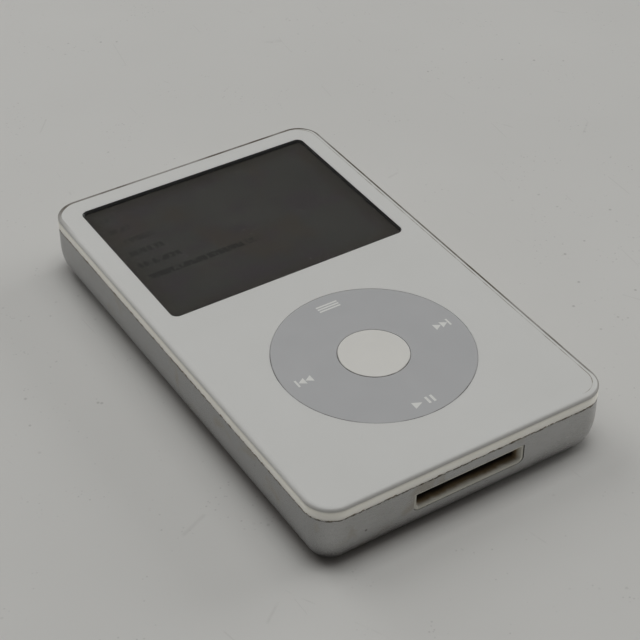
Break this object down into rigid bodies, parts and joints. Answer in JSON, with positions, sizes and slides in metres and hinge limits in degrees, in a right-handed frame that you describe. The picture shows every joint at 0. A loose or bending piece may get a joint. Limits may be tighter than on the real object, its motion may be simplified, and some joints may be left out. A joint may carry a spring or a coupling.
{
  "type": "digital audio player",
  "caption": "Pocket digital audio player with a white plastic front, display window, round touch wheel with a centre button, polished steel back and dock socket.",
  "frame": {"origin": "centre of the footprint, on the underside of the steel back", "axes": "+X across the width, +Y along the length towards the headphone end, +Z out of the front face"},
  "size_m": [0.0618, 0.1036, 0.014],
  "materials": {
    "front_bezel": "slightly yellowed white, worn gloss",
    "display_window": "dark tinted clear plastic",
    "display_mask": "black print",
    "display_gasket": "black foam",
    "display_panel": "switched-off screen",
    "display_backlight": "white light guide",
    "display_frame": "thin pressed sheet",
    "display_cable": "amber flexible circuit",
    "click_wheel": "smooth matte grey",
    "touch_sensor": "green circuit ring",
    "wheel_pivot_plate": "spring steel",
    "select_button": "warm white, matte",
    "dome_board": "green circuit board",
    "snap_domes": "pressed spring steel",
    "wheel_cable": "amber flexible circuit",
    "mid_frame": "pressed sheet",
    "frame_screws": "machine screws",
    "board_film": "amber insulating film",
    "logic_board": "green circuit board",
    "board_chips": "black moulded packages",
    "board_shield": "tinned sheet",
    "board_capacitors": "tan ceramic",
    "board_connectors": "ivory plastic",
    "dock_rim": "slightly yellowed white",
    "dock_connector": "black plastic",
    "dock_shield": "tinned sheet",
    "dock_contacts": "gold-plated",
    "drive_base": "cast, bead blasted",
    "drive_cover": "pressed sheet",
    "drive_screws": "blackened machine screws",
    "spindle_motor": "copper windings on steel teeth",
    "spindle_hub": "turned",
    "platter": "mirror-coated glass disk",
    "platter_clamp": "turned ring",
    "arm_pivot_post": "ground steel",
    "actuator_arm": "machined",
    "head_slider": "dark ceramic",
    "voice_coil": "copper winding",
    "coil_magnets": "nickel-plated magnets and yoke",
    "parking_ramp": "ivory plastic",
    "drive_board": "green circuit board",
    "drive_cable": "amber flexible circuit",
    "drive_bumpers": "blue elastomer",
    "battery_cell": "silver foil pouch",
    "battery_pad": "adhesive foam",
    "battery_cable": "amber flexible circuit",
    "audio_bracket": "pressed sheet",
    "audio_board": "green circuit board",
    "audio_screws": "machine screws",
    "jack_collar": "white plastic",
    "jack_barrel": "black plastic",
    "jack_contacts": "gold-plated",
    "hold_bezel": "white plastic",
    "hold_marker": "orange film",
    "hold_slider": "white plastic",
    "hold_lever": "black plastic",
    "hold_switch": "tinned sheet",
    "audio_cable": "amber flexible circuit",
    "clip_rails": "spring steel",
    "rear_shell": "polished stainless steel, worn"
  },
  "bodies": {
    "housing": {"front_bezel": "front_bezel", "display_window": "display_window", "display_mask": "display_mask", "display_gasket": "display_gasket", "display_panel": "display_panel", "display_backlight": "display_backlight", "display_frame": "display_frame", "display_cable": "display_cable", "dome_board": "dome_board", "snap_domes": "snap_domes", "wheel_cable": "wheel_cable", "mid_frame": "mid_frame", "frame_screws": "frame_screws", "board_film": "board_film", "logic_board": "logic_board", "board_chips": "board_chips", "board_shield": "board_shield", "board_capacitors": "board_capacitors", "board_connectors": "board_connectors", "dock_rim": "dock_rim", "dock_connector": "dock_connector", "dock_shield": "dock_shield", "dock_contacts": "dock_contacts", "drive_base": "drive_base", "drive_cover": "drive_cover", "drive_screws": "drive_screws", "spindle_motor": "spindle_motor", "arm_pivot_post": "arm_pivot_post", "coil_magnets": "coil_magnets", "parking_ramp": "parking_ramp", "drive_board": "drive_board", "drive_cable": "drive_cable", "drive_bumpers": "drive_bumpers", "battery_cell": "battery_cell", "battery_pad": "battery_pad", "battery_cable": "battery_cable", "audio_bracket": "audio_bracket", "audio_board": "audio_board", "audio_screws": "audio_screws", "jack_collar": "jack_collar", "jack_barrel": "jack_barrel", "jack_contacts": "jack_contacts", "hold_bezel": "hold_bezel", "hold_marker": "hold_marker", "hold_switch": "hold_switch", "audio_cable": "audio_cable", "clip_rails": "clip_rails", "rear_shell": "rear_shell"},
    "wheel_plate": {"wheel_pivot_plate": "wheel_pivot_plate"},
    "wheel": {"click_wheel": "click_wheel", "touch_sensor": "touch_sensor"},
    "button": {"select_button": "select_button"},
    "hold_switch_knob": {"hold_slider": "hold_slider", "hold_lever": "hold_lever"},
    "disk": {"spindle_hub": "spindle_hub", "platter": "platter", "platter_clamp": "platter_clamp"},
    "arm": {"actuator_arm": "actuator_arm", "head_slider": "head_slider", "voice_coil": "voice_coil"}
  },
  "joints": [
    {"name": "wheel_tilt_x", "type": "hinge", "parent": "housing", "child": "wheel_plate", "pos_m": [0, -0.02125, 0.0124], "axis": [1, 0, 0], "range_deg": [-0.5, 0.5], "stiffness_Nm_per_rad": 3},
    {"name": "wheel_tilt_y", "type": "hinge", "parent": "wheel_plate", "child": "wheel", "pos_m": [0, -0.02125, 0.0124], "axis": [0, 1, 0], "range_deg": [-0.5, 0.5], "stiffness_Nm_per_rad": 3},
    {"name": "select_press", "type": "slide", "parent": "housing", "child": "button", "axis": [0, 0, -1], "range_m": [0, 0.0003], "stiffness_N_per_m": 5000},
    {"name": "hold_slide", "type": "slide", "parent": "housing", "child": "hold_switch_knob", "axis": [1, 0, 0], "range_m": [0, 0.003]},
    {"name": "disk_spin", "type": "hinge", "parent": "housing", "child": "disk", "pos_m": [0, 0.0099, 0.0062], "axis": [0, 0, 1], "continuous": true},
    {"name": "arm_swing", "type": "hinge", "parent": "housing", "child": "arm", "pos_m": [0.0145, -0.0225, 0.007], "axis": [0, 0, 1], "range_deg": [0, 25.5]}
  ]
}
